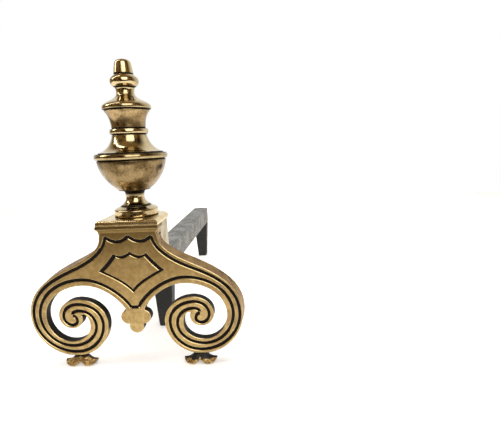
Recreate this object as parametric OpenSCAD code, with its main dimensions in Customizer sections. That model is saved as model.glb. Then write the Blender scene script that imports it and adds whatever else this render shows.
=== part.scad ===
// Brass andiron with a scroll front, a turned finial and an iron billet bar.
// Millimetres. The front faces -Y, the hearth is z = 0.

/* [Scroll front] */
// Width over the two scrolls, on the front face
front_w = 256.6; // [245:0.2:275]
// Size of a scroll, from its eye to its outer side
scroll_r = 51.2; // [48:0.2:54]
// Thickness of the cast plate
plate_t = 10; // [8:0.5:11]
// Height of the narrowest part of the neck above the eye of the scrolls
neck_rise = 94.8; // [90:0.2:105]
// Width of the neck at its narrowest
neck_w = 68.6; // [66:0.2:76]
// Height of the moulded lip above the neck's narrowest part
lip_rise = 14; // [12:0.5:18]
// How far the lip stands out beyond the neck
lip_out = 2.6; // [2:0.1:4]
// Depth of the edge band that backs the shoulders
edge_d = 15.5; // [13:0.5:20]
// How far the edge band slopes outwards
edge_flare = 2.7; // [1:0.1:4]
// Width of a cut line
groove_w = 3.4; // [2:0.1:3.6]
// Depth of a cut line
groove_d = 1.8; // [1:0.1:2.2]
// Half width of the shield at its side corners
shield_w = 38.4; // [34:0.2:42]
// Radius of the three lobes of the pendant
lobe_r = 8.7; // [7.5:0.1:9.5]

/* [Feet] */
// Height of a leaf foot
foot_h = 13.6; // [11:0.2:18]
// Width of a leaf foot from tip to tip
foot_w = 41; // [36:1:46]
// Depth of a leaf foot on the hearth
foot_d = 19; // [16:0.5:22]
// Radius of the spigot that holds a foot
spigot_r = 2.5; // [2:0.1:2.8]
// Length of the spigot
spigot_l = 8; // [5:0.5:9]

/* [Plinth] */
// Width of the plinth box
box_w = 68; // [60:0.5:68]
// Depth of the plinth, from the front face to its back
plinth_d = 67; // [64:0.5:74]
// Radius of the plinth's rear corners
corner_r = 22; // [14:0.5:26]
// Thickness of the plinth's walls
box_t = 4; // [3:0.5:5]
// How far the box reaches down beside the bar
saddle_h = 17; // [10:0.5:24]
// Thickness of the top plate
top_t = 6; // [4:0.25:8]
// How far the top plate stands out beyond the neck
top_out = 2; // [0.5:0.1:2.5]
// Radius of the rounding along the top plate's edge
top_round = 4.5; // [1:0.25:5]
// Radius of the screws that hold the front to the plinth
screw_r = 2.5; // [2:0.1:3]
// Spacing of the two screws
screw_span = 36; // [30:1:42]

/* [Finial] */
// Distance of the finial's axis behind the front face
axis_y = 38; // [34:0.5:41]
// Radius of the foot ring
ring_r = 26; // [25:0.25:29]
// Height of the foot ring
ring_h = 12.5; // [10:0.25:15]
// Radius of the stem's seat on the foot ring
seat_r = 16.2; // [15:0.1:18]
// Radius of the stem at its waist
stem_r = 10.8; // [9:0.1:12]
// Height of the stem
stem_h = 18; // [15:0.2:24]
// Radius of the bowl at its rim
bowl_r = 40.1; // [38:0.1:42]
// Height of the bowl
bowl_h = 37.2; // [32:0.2:44]
// Wall of the hollow turnings
shell_t = 3.5; // [2.5:0.25:4.5]
// Radius of the rim bead
rim_r = 42.6; // [42.2:0.1:47]
// Height of the rim bead
rim_h = 7.5; // [6:0.25:10]
// Height of the lid
lid_h = 21.7; // [18:0.1:28]
// Radius of the waist, where the lid ends
waist_r = 20; // [17.5:0.1:21.5]
// Radius of the waist ring
band_r = 22.3; // [21.6:0.1:26]
// Height of the waist ring
band_h = 6.9; // [5:0.1:9]
// Height of the upper waist
upper_h = 21.4; // [16:0.1:26]
// Radius of the cap
cap_r = 28.2; // [27:0.1:33]
// Height of the cap with its neck
cap_h = 25.5; // [22:0.1:32]
// Radius of the cap's neck
neck_r = 10.2; // [9:0.1:11.5]
// Radius of the ball
ball_r = 16.3; // [15:0.1:20]
// Height of the ball
ball_h = 14.4; // [13:0.1:18]
// Radius of the tip at its foot
tip_r = 11.2; // [10:0.1:12]
// Height of the tip
tip_h = 17.2; // [15:0.1:20]

/* [Iron] */
// Width of the billet bar
bar_w = 32; // [26:0.5:36]
// Height of the billet bar
bar_h = 34; // [28:0.5:38]
// Height of the bar's underside above the hearth
bar_z = 80; // [76:0.5:84]
// Depth of the seat filed in the bar's top for the plinth
seat_t = 1; // [0.5:0.25:2]
// Distance from the front face to the bar's rear end
bar_end = 480; // [420:1:560]
// Distance from the front face to the front leg
leg_y = 98; // [85:1:160]
// Depth of a leg along the bar
leg_d = 21; // [16:0.5:26]
// Width of a leg under the bar
leg_top_w = 31; // [24:0.5:34]
// Width of a leg at the hearth
leg_foot_w = 19; // [14:0.5:26]
// How far the front leg stands off the centre line
leg_shift = 5.5; // [0:0.25:6]
// Radius of a leg's tenon
tenon_r = 6; // [4:0.25:6.5]
// Radius of the tie rod
rod_r = 4; // [3:0.25:5]
// Width across the flats of the square nut
nut_w = 15; // [12:0.5:18]
// Height of the square nut
nut_h = 7; // [5:0.5:9]
// Radius of the washer
washer_r = 12; // [10:0.5:14]
// Thickness of the washer
washer_t = 2; // [1:0.25:3]

/* [Hidden] */
$fn = 96;
// Points along each curve
steps = 14;
// Radial clearance of a pin in its hole
fit = 0.05;
// Radial clearance of the tie rod in the pieces it passes
slack = 0.3;
// Overrun of a cut past a face
over = 1;

// Unit of the scroll's shape: a scroll is drawn for an outer radius of 51.4
u = scroll_r / 51.4;
// Bottom of the scrolls is cut flat by this much where a foot is seated
land = 0.6;
// Eye of the right-hand scroll
eye = [front_w / 2 - scroll_r, foot_h - land + scroll_r];
// Centre of a foot, a little inside the eye
foot_x = eye.x - 3.2 * u;
neck_z = eye.y + neck_rise;
lip_z = neck_z + lip_rise;
plinth_z = lip_z + top_t;
bar_top = bar_z + bar_h;
seat_z = bar_top - seat_t;
plate_mid = plate_t / 2;
foot_front = plate_mid - foot_d / 2;
// The middle of the whole depth, which is the origin along Y
mid_y = (bar_end + foot_front) / 2;
rear_leg_y = bar_end - leg_d;
// Screws of the plinth: height, length in the front plate and height of the head
screw_z = bar_top + 35;
screw_l = 7;
head_h = 3;

// Heights at which the turned pieces of the finial start
stem_z = plinth_z + ring_h;
bowl_z = stem_z + stem_h;
rim_z = bowl_z + bowl_h;
lid_z = rim_z + rim_h;
band_z = lid_z + lid_h;
upper_z = band_z + band_h;
cap_z = upper_z + upper_h;
ball_z = cap_z + cap_h;
tip_z = ball_z + ball_h;

// ---- curves ----

// Cubic curve through p[0] and p[3]
function curve(p, n = steps) = [for (i = [0:n]) let (t = i / n, s = 1 - t)
    s * s * s * p[0] + 3 * s * s * t * p[1] + 3 * s * t * t * p[2] + t * t * t * p[3]];
// Sagging line between two corners, pulled to a point
function sag(a, pull, b) = [for (i = [0:steps]) let (t = i / steps, s = 1 - t)
    s * s * a + 2 * s * t * pull + t * t * b];
// Quarter of an ellipse from a to b, upright at a or level at a
function quarter(a, b, upright, n = steps) = [for (i = [0:n]) let (t = 90 * i / n)
    upright ? [b.x + (a.x - b.x) * cos(t), a.y + (b.y - a.y) * sin(t)]
            : [a.x + (b.x - a.x) * sin(t), b.y + (a.y - b.y) * cos(t)]];
function joined(lists) = [for (l = lists) each l];
function tail(l) = [for (i = [1:len(l) - 1]) l[i]];
function backwards(l) = [for (i = [len(l) - 1:-1:0]) l[i]];
function flipped(l) = [for (p = l) [-p.x, p.y]];
// Spiral through its outermost points, which are upright and level in turn
function spiral(p) = joined([for (i = [0:len(p) - 2]) tail(quarter(p[i], p[i + 1], i % 2 == 0))]);
// A point given from the eye of the scroll
function at_eye(x, z) = eye + u * [x, z];
// Left-hand normal of a line at its point i
function side(l, i) = let (
    a = l[max(i - 1, 0)],
    b = l[min(i + 1, len(l) - 1)],
    d = (b - a) / norm(b - a)) [-d.y, d.x];
// Outline of a line drawn with a width
function stroke(l, w) = concat(
    [for (i = [0:len(l) - 1]) l[i] + side(l, i) * w / 2],
    [for (i = [len(l) - 1:-1:0]) l[i] - side(l, i) * w / 2]);

// ---- front outline, right half ----

shoulder = at_eye(-5.2, 62);
outer_side = at_eye(51.4, 0.8);
function neck_edge(n) = concat(
    curve([[neck_w / 2, neck_z], [neck_w / 2, neck_z - 14], shoulder + [-20, 9.3], shoulder], n),
    tail(curve([shoulder, shoulder + [25, -11.7], outer_side + [0, 34 * u], outer_side], n)));
// Outer edge of the scroll, down, under and round to the end of the curl
outer_turns = [outer_side, at_eye(-0.2, -51.5), at_eye(-42.9, -9.7), at_eye(-8.2, 21),
    at_eye(16.7, 0.1), at_eye(1.6, -15.6), at_eye(-12.2, -2.7), at_eye(-9.3, 0.7)];
// Inner edge of the scroll, from the cusp of the curl back to the top of the arch
inner_turns = [at_eye(-20.6, -12.2), at_eye(3.8, -32.7), at_eye(32.4, -0.7), at_eye(-16.4, 38.1)];
arch_top = inner_turns[3];
// Narrow neck over the pendant, this far below the neck of the front
pendant_drop = 87;
pendant = [11.5, neck_z - pendant_drop];
arch = curve([arch_top, arch_top + [-19, 0], pendant + [10.5, 17.5], pendant]);
cusp = quarter(inner_turns[0], at_eye(-13.3, 1.7), true);
half_front = joined([
    [[neck_w / 2 - 1.3, lip_z], [neck_w / 2 - 1.3, neck_z + 5]],
    neck_edge(steps), spiral(outer_turns), backwards(cusp), spiral(inner_turns), tail(arch)]);

// ---- cut lines, right half ----

groove_neck = [neck_w / 2 - 7.3, neck_z + 0.6];
groove_mid = at_eye(-7.9, 57.4);
outer_groove = concat(
    curve([groove_neck, groove_neck + [2.7, -17], groove_mid + [-21.3, 9], groove_mid]),
    tail(curve([groove_mid, groove_mid + [22.7, -9.6], at_eye(47.6, 34), at_eye(47.6, -0.2)])),
    spiral([at_eye(47.6, -0.2), at_eye(-0.8, -46.2), at_eye(-36.6, -10.5), at_eye(-7.2, 14.8),
        at_eye(11, -0.5), at_eye(1, -11.5), at_eye(-5.2, -5.9), at_eye(0, 0.3)]));
groove_foot = pendant + [-7, 2];
inner_groove = concat(
    curve([groove_foot, groove_foot + [9.5, 17], at_eye(-37.2, 45.4), at_eye(-16.2, 45.4)]),
    tail(backwards(quarter(at_eye(39.8, 0.3), at_eye(-16.2, 45.4), true))),
    spiral([at_eye(39.8, 0.3), at_eye(3.1, -38.2), at_eye(-27.8, -12.7), at_eye(-8.2, 6.5),
        at_eye(-0.3, 2.4)]));
// Top line of the field dips on each side of a middle point
field_top = sag([0, neck_z + 1], [groove_neck.x / 2, neck_z - 11], groove_neck);
shield_top = neck_z - 17.5;
shield = joined([
    sag([0, shield_top], [11, shield_top - 8.2], [19.5, shield_top - 2.2]),
    tail(sag([19.5, shield_top - 2.2], [28.5, shield_top - 13.7], [shield_w, shield_top - 22.7])),
    tail(curve([[shield_w, shield_top - 22.7], [26, shield_top - 29.2], [9, shield_top - 37.7],
        [0, shield_top - 49.2]]))]);

// ---- shared shapes ----

// Plate standing in the XZ plane from y0 to y1
module upright(y0, y1) {
    translate([0, y1, 0]) rotate([90, 0, 0]) linear_extrude(y1 - y0) children();
}
// Prism along X over the width w, from an outline in the YZ plane
module across(w) {
    translate([-w / 2, 0, 0]) rotate([90, 0, 90]) linear_extrude(w) children();
}
// Puts the pieces about the middle of the depth
module placed() {
    translate([0, -mid_y, 0]) children();
}
module both_sides() {
    children();
    mirror([1, 0, 0]) children();
}
// Hole or pin along Z on the finial's axis
module on_axis(r, z0, z1) {
    translate([0, axis_y, z0]) cylinder(r = r, h = z1 - z0);
}
// Turned piece from an outer profile, with the rod's bore
module turned(z, profile, h) {
    translate([0, axis_y, z]) rotate_extrude() polygon(concat([[rod_r + slack, 0]], profile,
        [[rod_r + slack, h]]));
}
// Plan of the plinth: square in front, with round corners behind
module plan(w, front, back, r) {
    difference() {
        translate([-w / 2, front]) square([w, back - front]);
        both_sides() difference() {
            translate([w / 2 - r, back - r]) square(r + over);
            translate([w / 2 - r, back - r]) circle(r);
        }
    }
}

// ---- scroll front ----

// Half width of the lip at each height, as [stand-out, height]
lip_profile = joined([
    quarter([-0.5, neck_z + 2], [lip_out, lip_z - 4], true),
    quarter([lip_out, lip_z - 2], [top_out - 0.2, lip_z - 0.3], true),
    [[top_out - 0.2, lip_z]]]);

module lip() {
    front = [for (p = lip_profile) [neck_w / 2 + p.x, p.y]];
    fore = [for (p = lip_profile) [-p.x, p.y]];
    intersection() {
        upright(-lip_out - over, edge_d) polygon(concat(front, backwards(flipped(front))));
        across(neck_w + 2 * lip_out + 2) polygon(concat(fore, [[edge_d, lip_z],
            [edge_d, neck_z + 2]]));
    }
}

// Stations of the edge band, which lie between the corners of the plate's outline
band_steps = 11;
band_stations = concat(neck_edge(band_steps),
    tail(quarter(outer_turns[0], outer_turns[1], true, band_steps)));
// How much of the full slope the edge band has at each station
function slope(i) = lookup(i / band_steps, [[0, -0.15], [0.6, 0.8], [1, 1], [2, 0.5], [3, -0.15]]);
// Section of the edge band: arris, outer back, inner back, root
function band_section(i) = let (p = band_stations[i], n = side(band_stations, i),
    out = p + n * edge_flare * slope(i), inside = p - n * 3.5, arris = p - n * 0.4) [
    [arris.x, 0.5, arris.y], [out.x, edge_d, out.y],
    [inside.x, edge_d, inside.y], [inside.x, plate_t / 2, inside.y]];

module edge_band() {
    n = len(band_stations);
    polyhedron(
        points = joined([for (i = [0:n - 1]) band_section(i)]),
        faces = concat(
            [[0, 2, 1], [0, 3, 2]],
            joined([for (i = [0:n - 2], k = [0:3]) let (
                a = 4 * i + k,
                b = 4 * i + (k + 1) % 4)
                [[a, b, a + 4], [b, b + 4, a + 4]]]),
            [[4 * n - 4, 4 * n - 3, 4 * n - 2], [4 * n - 4, 4 * n - 2, 4 * n - 1]]));
}

module trefoil() {
    centre_z = pendant.y - 10.5;
    both_sides() translate([lobe_r + 0.6, centre_z]) circle(lobe_r);
    translate([0, centre_z - 11.5]) circle(lobe_r);
    translate([-lobe_r, centre_z - lobe_r]) square(2 * lobe_r);
    translate([-pendant.x, centre_z]) square([2 * pendant.x, pendant.y - centre_z + 0.5]);
}

module grooves() {
    both_sides() {
        polygon(stroke(outer_groove, groove_w));
        polygon(stroke(inner_groove, groove_w));
        polygon(stroke(field_top, groove_w));
    }
    translate([-groove_foot.x, groove_foot.y - groove_w / 2]) square([2 * groove_foot.x, groove_w]);
}

module shield_groove() {
    outline = concat(shield, backwards(flipped(shield)));
    difference() {
        polygon(outline);
        translate([0, shield_top - 24]) scale(1 - groove_w / 24) translate([0, 24 - shield_top])
            polygon(outline);
    }
}

module front_plate() {
    color("#b5994f") placed() difference() {
        union() {
            upright(0, plate_t) {
                polygon(concat(half_front, backwards(flipped(half_front))));
                trefoil();
            }
            both_sides() edge_band();
            lip();
            // Thick neck that the plinth box is screwed to
            translate([3 - neck_w / 2, plate_mid, seat_z + slack])
                cube([neck_w - 6, edge_d - plate_mid, lip_z - seat_z - slack]);
        }
        upright(-over, groove_d) {
            grooves();
            shield_groove();
        }
        both_sides() {
            // Flat seat and socket of a foot
            translate([foot_x - 12, -over, foot_h - 5]) cube([24, edge_d + 2 * over, 5]);
            translate([foot_x, plate_mid + 0.5, foot_h - over])
                cylinder(r = spigot_r + fit, h = spigot_l + over + 0.3);
            // Blind hole of a screw
            translate([screw_span / 2, edge_d + over, screw_z]) rotate([90, 0, 0])
                cylinder(r = screw_r + fit, h = screw_l + over + 0.3);
        }
    }
}

// ---- feet ----

module leaf_foot(s) {
    w = foot_w / 2;
    d = foot_d / 2;
    half = joined([
        curve([[8, foot_h], [9.5, foot_h - 3.4], [w - 6.5, foot_h - 4.4], [w - 0.7, foot_h - 3.2]]),
        tail(curve([[w - 0.7, foot_h - 3.2], [w + 1.2, foot_h - 4.6], [w - 2.6, 1.6], [w - 7, 0]])),
        curve([[5, 0], [3.2, 0.2], [1.6, 2.6], [0, 4.6]])]);
    fore = concat(
        curve([[plate_mid, foot_h], [plate_mid + 0.6, foot_h - 4], [d - 2, foot_h - 4.5],
            [d, foot_h - 7]]),
        [[d, 1.2], [d - 1.2, 0]]);
    color("#a88b48") placed() translate([s * foot_x, 0, 0]) {
        intersection() {
            upright(-foot_d, foot_d + plate_t) polygon(concat(half, backwards(flipped(half))));
            translate([0, plate_mid, 0]) across(foot_w + 10)
                polygon(concat(fore, backwards(flipped(fore))));
        }
        translate([0, plate_mid + 0.5, foot_h - 1]) cylinder(r = spigot_r, h = spigot_l + 1);
    }
}

module left_foot() { leaf_foot(-1); }
module right_foot() { leaf_foot(1); }

// ---- plinth ----

module plate_screws() {
    color("#5a5148") placed() both_sides() translate([screw_span / 2, edge_d + box_t, screw_z])
        rotate([90, 0, 0]) {
            cylinder(r = screw_r, h = box_t + screw_l);
            difference() {
                translate([0, 0, -head_h]) cylinder(r = 1.8 * screw_r, h = head_h);
                // Driving slot
                translate([-2 * screw_r, -0.6, -head_h - over])
                    cube([4 * screw_r, 1.2, over + 1.2]);
            }
        }
}

module plinth_box() {
    z0 = bar_top - saddle_h;
    color("#c2a86a") placed() difference() {
        translate([0, 0, z0]) linear_extrude(lip_z - z0) difference() {
            plan(box_w, edge_d, plinth_d, corner_r);
            plan(box_w - 2 * box_t, edge_d + box_t, plinth_d - box_t, corner_r - box_t);
        }
        // The box sits astride the bar
        translate([-bar_w / 2 - slack, 0, z0 - over])
            cube([bar_w + 2 * slack, plinth_d + over, saddle_h - seat_t + over]);
        both_sides() translate([screw_span / 2, edge_d + box_t + over, screw_z]) rotate([90, 0, 0])
            cylinder(r = screw_r + fit, h = box_t + 2 * over);
    }
}

module top_plate() {
    w = neck_w + 2 * top_out;
    r = corner_r + top_out;
    back = plinth_d + top_out;
    // Edge of the plate: upright, then rounded in to the top
    edge = quarter([0, 0.3 * top_t], [-top_round, top_t], true);
    half = concat([[w / 2, 0]], [for (p = edge) [w / 2 + p.x, p.y]]);
    fore = concat([[-top_out, 0]], [for (p = edge) [-top_out - p.x, p.y]]);
    color("#c2a86a") placed() translate([0, 0, lip_z]) difference() {
        union() {
            intersection() {
                upright(-top_out - over, back - r)
                    polygon(concat(half, backwards(flipped(half))));
                across(w + 2) polygon(concat(fore, [[back, top_t], [back, 0]]));
            }
            both_sides() translate([w / 2 - r, back - r, 0]) rotate_extrude(angle = 90)
                polygon(concat([[0, 0], [r, 0]], [for (p = edge) [r + p.x, p.y]], [[0, top_t]]));
            across(w - 2 * r) polygon(concat([[back - r - over, 0], [back, 0]],
                [for (p = edge) [back + p.x, p.y]], [[back - r - over, top_t]]));
        }
        on_axis(rod_r + slack, -over, top_t + over);
    }
}

// ---- finial ----

module foot_ring() {
    color("#c9a552") placed() turned(plinth_z, joined([
        [[ring_r - 0.5, 0], [ring_r, 0.6]],
        curve([[ring_r, 5.4], [ring_r - 0.2, ring_h - 4.2], [seat_r + 2.5, ring_h - 3.3],
            [seat_r + 0.3, ring_h]])]), ring_h);
}

module stem() {
    color("#c9a552") placed() turned(stem_z, joined([
        [[seat_r, 0]],
        curve([[seat_r, 0.8], [seat_r - 3.5, 3.4], [stem_r, 6], [stem_r, 0.57 * stem_h]]),
        tail(curve([[stem_r, 0.57 * stem_h], [stem_r, stem_h - 4.3], [stem_r + 0.6, stem_h - 2],
            [stem_r + 2, stem_h]]))]), stem_h);
}

// Outer side of the bowl, drawn in by t
function bowl_side(t) = curve([[stem_r + 5.7 - t, 0], [stem_r + 17 - t, 6.5],
    [bowl_r - 0.8 - t, bowl_h - 15], [bowl_r - t, bowl_h]]);

module bowl() {
    hollow = [for (p = bowl_side(shell_t)) if (p.y > shell_t) p];
    color("#a58346") placed() translate([0, axis_y, bowl_z]) rotate_extrude() polygon(joined([
        [[rod_r + slack, 0]],
        bowl_side(0),
        backwards(hollow),
        [[rod_r + slack, shell_t]]]));
}

// Half-round bead of radius r, standing on a shoulder of radius r0
function bead(r0, r, h) = [for (i = [0:steps]) let (t = 180 * i / steps)
    [r0 + (r - r0) * sin(t), h / 2 - h / 2 * cos(t)]];

module rim_bead() {
    inner = bowl_r - 2 * shell_t;
    color("#d2b05c") placed() translate([0, axis_y, rim_z]) rotate_extrude()
        polygon(concat([[inner, 0]], bead(bowl_r - 1, rim_r, rim_h), [[inner, rim_h]]));
}

function lid_side(t) = curve([[bowl_r - 1.6 - t, 0.8], [bowl_r - 11.3 - t, 3],
    [waist_r + 1.8 - t, 0.5 * lid_h], [waist_r - t, lid_h]]);

module lid() {
    hollow = [for (p = lid_side(shell_t)) if (p.y < lid_h - shell_t) p];
    last = hollow[len(hollow) - 1];
    color("#b8964e") placed() translate([0, axis_y, lid_z]) rotate_extrude() polygon(joined([
        [[bowl_r - 1.4, 0]],
        lid_side(0),
        [[rod_r + slack, lid_h], [rod_r + slack, lid_h - shell_t], [last.x, lid_h - shell_t]],
        backwards(hollow),
        [[bowl_r - 1.6 - shell_t, 0]]]));
}

module waist_ring() {
    color("#d2b05c") placed() turned(band_z, bead(waist_r, band_r, band_h), band_h);
}

module upper_waist() {
    color("#b8964e") placed() turned(upper_z, joined([
        [[waist_r - 0.4, 0]],
        curve([[waist_r - 0.4, 0.4], [waist_r - 0.1, 9], [cap_r - 6.8, upper_h - 6],
            [cap_r - 1.6, upper_h - 0.6]]),
        [[cap_r - 1.6, upper_h]]]), upper_h);
}

module cap() {
    color("#c9a552") placed() turned(cap_z, joined([
        curve([[cap_r - 1.2, 0], [cap_r - 0.2, 0.8], [cap_r, 2], [cap_r, 3.3]]),
        tail(curve([[cap_r, 3.3], [cap_r - 0.6, 9.5], [neck_r, cap_h - 14.3],
            [neck_r, cap_h - 5.7]])),
        tail(curve([[neck_r, cap_h - 5.7], [neck_r, cap_h - 2.8], [neck_r + 0.5, cap_h - 1.3],
            [neck_r + 1.5, cap_h]]))]), cap_h);
}

module ball() {
    color("#d2b05c") placed() turned(ball_z, concat(
        curve([[neck_r + 1.5, 0], [neck_r + 3.3, 1.2], [ball_r, 3.2], [ball_r, 7]]),
        tail(curve([[ball_r, 7], [ball_r, 10], [tip_r + 3, ball_h - 2.9],
            [tip_r - 0.4, ball_h]]))), ball_h);
}

module tip_nut() {
    color("#c9a552") placed() difference() {
        translate([0, axis_y, tip_z]) rotate_extrude() polygon(joined([
            [[0, 0], [tip_r - 0.3, 0]],
            curve([[tip_r, 0.6], [tip_r - 0.4, 5], [tip_r - 1.3, tip_h - 7],
                [tip_r - 1.8, tip_h - 4.6]]),
            tail(curve([[tip_r - 1.8, tip_h - 4.6], [tip_r - 2.6, tip_h - 1.6], [6, tip_h],
                [0, tip_h]]))]));
        // Tapped socket for the rod
        on_axis(rod_r + fit, tip_z - over, tip_z + tip_h - 4);
    }
}

// ---- iron ----

module tie_rod() {
    low = bar_z - washer_t - nut_h - 3;
    color("#4a4744") placed() on_axis(rod_r, low, tip_z + tip_h - 4.5);
}

module rod_washer() {
    color("#55514c") placed() difference() {
        on_axis(washer_r, bar_z - washer_t, bar_z);
        on_axis(rod_r + slack, bar_z - washer_t - over, bar_z + over);
    }
}

module rod_nut() {
    z0 = bar_z - washer_t - nut_h;
    color("#55514c") placed() difference() {
        translate([-nut_w / 2, axis_y - nut_w / 2, z0]) cube([nut_w, nut_w, nut_h]);
        on_axis(rod_r + fit, z0 - over, z0 + nut_h + over);
    }
}

module billet_bar() {
    color("#77777a") placed() difference() {
        translate([-bar_w / 2, plate_t, bar_z]) cube([bar_w, bar_end - plate_t, bar_h]);
        on_axis(rod_r + slack, bar_z - over, bar_top + over);
        // Seat of the plinth
        translate([-bar_w / 2 - over, plate_t - over, seat_z])
            cube([bar_w + 2 * over, plinth_d + slack - plate_t + over, seat_t + over]);
        for (p = [[leg_shift, leg_y], [0, rear_leg_y]])
            translate([p.x, p.y + leg_d / 2, bar_z - over])
                cylinder(r = tenon_r + fit, h = bar_h + 2 * over);
    }
}

// Tapered leg with a round tenon that goes up through the bar
module leg(x, y) {
    top = leg_top_w / 2;
    foot = leg_foot_w / 2;
    chamfer = 3;
    color("#2e2f2e") placed() translate([x, y, 0]) {
        upright(0, leg_d) polygon([[-top, bar_z], [-foot, chamfer], [chamfer / 2 - foot, 0],
            [foot - chamfer / 2, 0], [foot, chamfer], [top, bar_z]]);
        translate([0, leg_d / 2, bar_z - 1]) cylinder(r = tenon_r, h = bar_h + 1);
    }
}

module front_leg() { leg(leg_shift, leg_y); }
module rear_leg() { leg(0, rear_leg_y); }

front_plate();
left_foot();
right_foot();
plate_screws();
plinth_box();
top_plate();
foot_ring();
stem();
bowl();
rim_bead();
lid();
waist_ring();
upper_waist();
cap();
ball();
tip_nut();
tie_rod();
rod_washer();
rod_nut();
billet_bar();
front_leg();
rear_leg();
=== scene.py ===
import math

import bmesh
import bpy
from mathutils import Matrix, Vector, noise
from mathutils.bvhtree import BVHTree


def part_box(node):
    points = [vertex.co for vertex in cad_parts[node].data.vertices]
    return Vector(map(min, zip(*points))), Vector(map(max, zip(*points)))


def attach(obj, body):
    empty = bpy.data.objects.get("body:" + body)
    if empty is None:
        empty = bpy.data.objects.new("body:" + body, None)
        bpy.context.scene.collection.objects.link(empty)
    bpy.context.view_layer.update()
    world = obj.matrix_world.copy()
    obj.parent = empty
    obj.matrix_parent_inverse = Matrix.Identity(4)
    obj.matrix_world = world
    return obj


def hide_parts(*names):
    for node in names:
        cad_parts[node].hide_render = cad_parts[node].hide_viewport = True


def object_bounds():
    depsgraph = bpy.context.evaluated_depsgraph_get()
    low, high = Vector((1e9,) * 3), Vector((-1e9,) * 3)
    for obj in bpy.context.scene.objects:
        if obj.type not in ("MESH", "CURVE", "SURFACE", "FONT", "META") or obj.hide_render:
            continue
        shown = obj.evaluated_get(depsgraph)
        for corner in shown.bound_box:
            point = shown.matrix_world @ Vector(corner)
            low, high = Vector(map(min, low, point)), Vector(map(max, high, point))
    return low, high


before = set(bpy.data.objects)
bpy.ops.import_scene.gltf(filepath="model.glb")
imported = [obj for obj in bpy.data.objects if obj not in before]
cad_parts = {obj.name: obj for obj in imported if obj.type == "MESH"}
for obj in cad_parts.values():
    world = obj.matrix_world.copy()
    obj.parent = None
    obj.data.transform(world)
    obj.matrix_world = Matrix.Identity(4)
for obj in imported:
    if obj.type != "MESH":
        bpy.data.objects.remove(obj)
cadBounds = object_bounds()
mm = 0.001               # the frame is in metres
tiny = 0.001 * mm        # points nearer than this are one

placeSet = {
    "barReach": 480 * mm,       # from the face of the front to the rear end of the bar
    "finialDepth": 38 * mm,     # from the face of the front to the axis of the finial
    "plinthGap": 0.3 * mm,      # from the plinth to the end of its seat in the bar
}

barLow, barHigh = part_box("billet_bar")
faceY = barHigh.y - placeSet["barReach"]
axisY = faceY + placeSet["finialDepth"]
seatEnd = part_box("plinth_box")[1].y + placeSet["plinthGap"]

cameraSet = {
    "place": Vector((162.4, -419.7, 257.6)) * mm,   # from the middle of the front, at hearth level
    "yaw": 2.693,            # degrees
    "pitch": 10.088,
    "roll": -2.506,
    "lens": 27.438,          # lens and sensor in mm
    "sensor": 36,
    "shift": (-0.0018, -0.0067),
    "nearest": 10 * mm,
}


def addCamera(view):
    data = bpy.data.cameras.new("camera")
    data.sensor_width = view["sensor"]
    data.lens = view["lens"]
    data.shift_x, data.shift_y = view["shift"]
    data.clip_start = view["nearest"]
    camera = bpy.data.objects.new("camera", data)
    bpy.context.collection.objects.link(camera)
    turn = (Matrix.Rotation(math.radians(view["yaw"]), 4, "Z")
            @ Matrix.Rotation(math.radians(90 - view["pitch"]), 4, "X")
            @ Matrix.Rotation(math.radians(view["roll"]), 4, "Z"))
    camera.matrix_world = Matrix.Translation(view["place"] + Vector((0, faceY, 0))) @ turn
    bpy.context.scene.camera = camera


addCamera(cameraSet)
print("camera set")


def rgb(hexColour):      # sRGB to linear
    parts = [int(hexColour[i:i + 2], 16) / 255 for i in (1, 3, 5)]
    return [p / 12.92 if p <= 0.04045 else ((p + 0.055) / 1.055) ** 2.4 for p in parts] + [1]


def addNode(tree, kind, inputs=None, **settings):
    # an input is a plain value, or the output that is linked to it
    node = tree.nodes.new(kind)
    for key, value in settings.items():
        setattr(node, key, value)
    for key, value in (inputs or {}).items():
        if isinstance(value, bpy.types.NodeSocket):
            tree.links.new(value, node.inputs[key])
        else:
            node.inputs[key].default_value = value
    return node


def blotches(tree, place, size, low, high, detail):
    # clouds of noise: 0 where they are under low, 1 where they are over high
    cloud = addNode(tree, "ShaderNodeTexNoise",
                    {"Vector": place, "Scale": 1 / size, "Detail": detail}).outputs[0]
    return addNode(tree, "ShaderNodeMapRange",
                   {"Value": cloud, "From Min": low, "From Max": high}).outputs[0]


def layColours(tree, masks, base, layers):
    # each layer covers what lies under it where its mask is 1, as far as its share says
    colour = rgb(base)
    for mask, share, cover in layers:
        amount = addNode(tree, "ShaderNodeMath", {0: masks[mask], 1: share},
                         operation="MULTIPLY").outputs[0]
        colour = addNode(tree, "ShaderNodeMix", {0: amount, 6: colour, 7: rgb(cover)},
                         data_type="RGBA").outputs[2]
    return colour


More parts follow.
